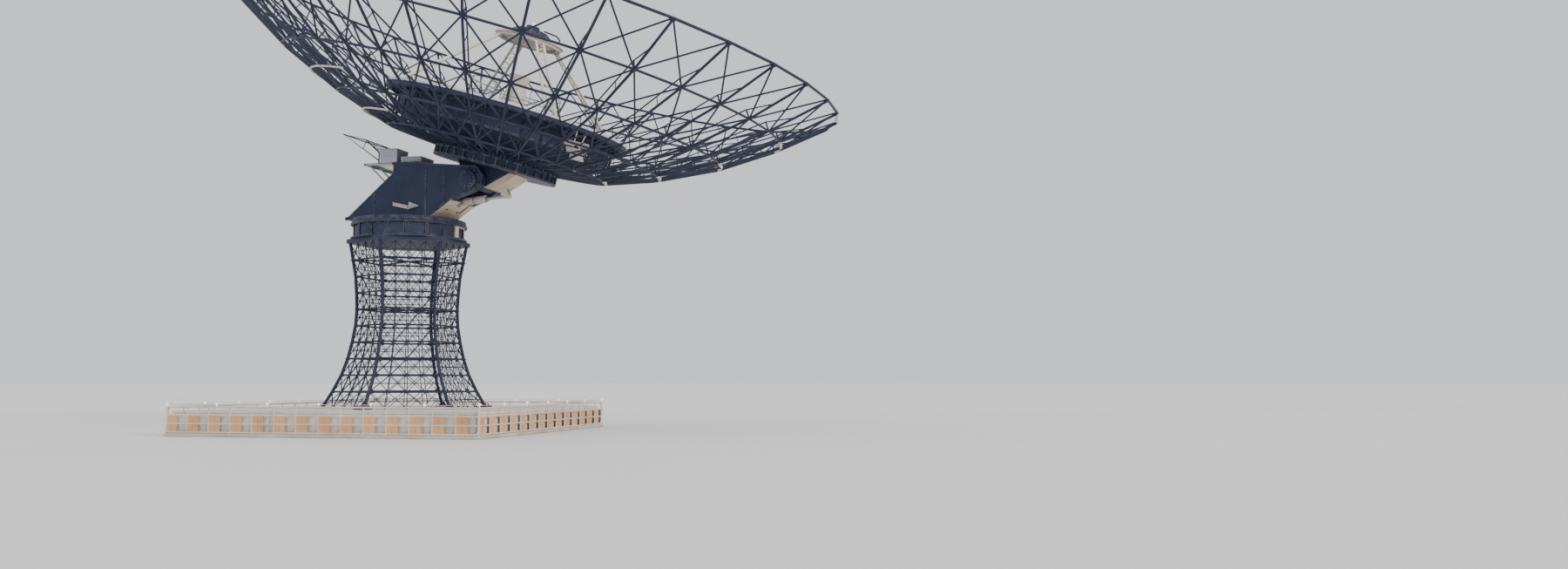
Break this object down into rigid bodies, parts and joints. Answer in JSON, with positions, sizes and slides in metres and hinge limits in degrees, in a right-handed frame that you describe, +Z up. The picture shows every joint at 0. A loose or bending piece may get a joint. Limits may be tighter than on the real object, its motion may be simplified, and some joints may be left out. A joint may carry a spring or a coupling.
{
  "type": "radio telescope dish",
  "caption": "Steerable open-lattice dish antenna with a small mirror on four legs, carried by a forked turning head on a waisted six-sided lattice tower and a fenced plinth.",
  "frame": {"origin": "on the ground under the tower's axis", "axes": "Z up, the dish leans towards +X, Y along the elevation shaft"},
  "size_m": [24.0842, 24.8856, 18.5443],
  "materials": {
    "dark_steel": "dark blue-grey paint, weathered",
    "cream_paint": "cream paint, slightly stained",
    "fence_paint": "tan paint, dusty",
    "white_paint": "white paint over the plinth, dirty at the foot",
    "grey_paint": "grey paint",
    "bare_steel": "greased steel"
  },
  "bodies": {
    "base": {"plinth": "white_paint", "fence_front": "fence_paint", "fence_right": "fence_paint", "fence_back": "fence_paint", "fence_left": "fence_paint", "tower_face_1": "dark_steel", "tower_face_2": "dark_steel", "tower_face_3": "dark_steel", "tower_face_4": "dark_steel", "tower_face_5": "dark_steel", "tower_face_6": "dark_steel", "tower_cap": "dark_steel", "azimuth_drum": "dark_steel"},
    "head": {"head_plate": "dark_steel", "yoke": "dark_steel", "bearing_left": "dark_steel", "bearing_right": "dark_steel", "service_deck": "grey_paint", "deck_rails": "dark_steel", "cabinet": "grey_paint", "head_housing": "dark_steel", "azimuth_drive": "grey_paint", "jack_bracket": "grey_paint"},
    "dish": {"dish_sector_1": "dark_steel", "dish_sector_2": "dark_steel", "dish_sector_3": "dark_steel", "dish_sector_4": "dark_steel", "dish_sector_5": "dark_steel", "dish_sector_6": "dark_steel", "central_disc": "dark_steel", "hub": "dark_steel", "cradle": "dark_steel", "nose": "cream_paint", "jack_clevis": "grey_paint", "feed_cone": "cream_paint", "quadrupod": "cream_paint", "small_mirror": "cream_paint", "mirror_backing": "dark_steel"},
    "jack": {"jack_body": "grey_paint"},
    "screw": {"jack_screw": "bare_steel"}
  },
  "joints": [
    {"name": "azimuth", "type": "hinge", "parent": "base", "child": "head", "pos_m": [0, 0, 8.046], "axis": [0, 0, 1], "range_deg": [-270, 270]},
    {"name": "elevation", "type": "hinge", "parent": "head", "child": "dish", "pos_m": [3, 0, 9.6], "axis": [0, -1, 0], "range_deg": [-45, 10]},
    {"name": "jack_swing", "type": "hinge", "parent": "head", "child": "jack", "pos_m": [1.6, 0, 8.85], "axis": [0, -1, 0], "range_deg": [-18.2, 4.2]},
    {"name": "screw_travel", "type": "slide", "parent": "jack", "child": "screw", "axis": [0.995, 0, 0.0995], "range_m": [-0.62, 0.14]}
  ],
  "couplings": [
    {"joint": "jack_swing", "follows": "elevation", "ratio": 0.4},
    {"joint": "screw_travel", "follows": "elevation", "m_per_rad": 0.78}
  ]
}
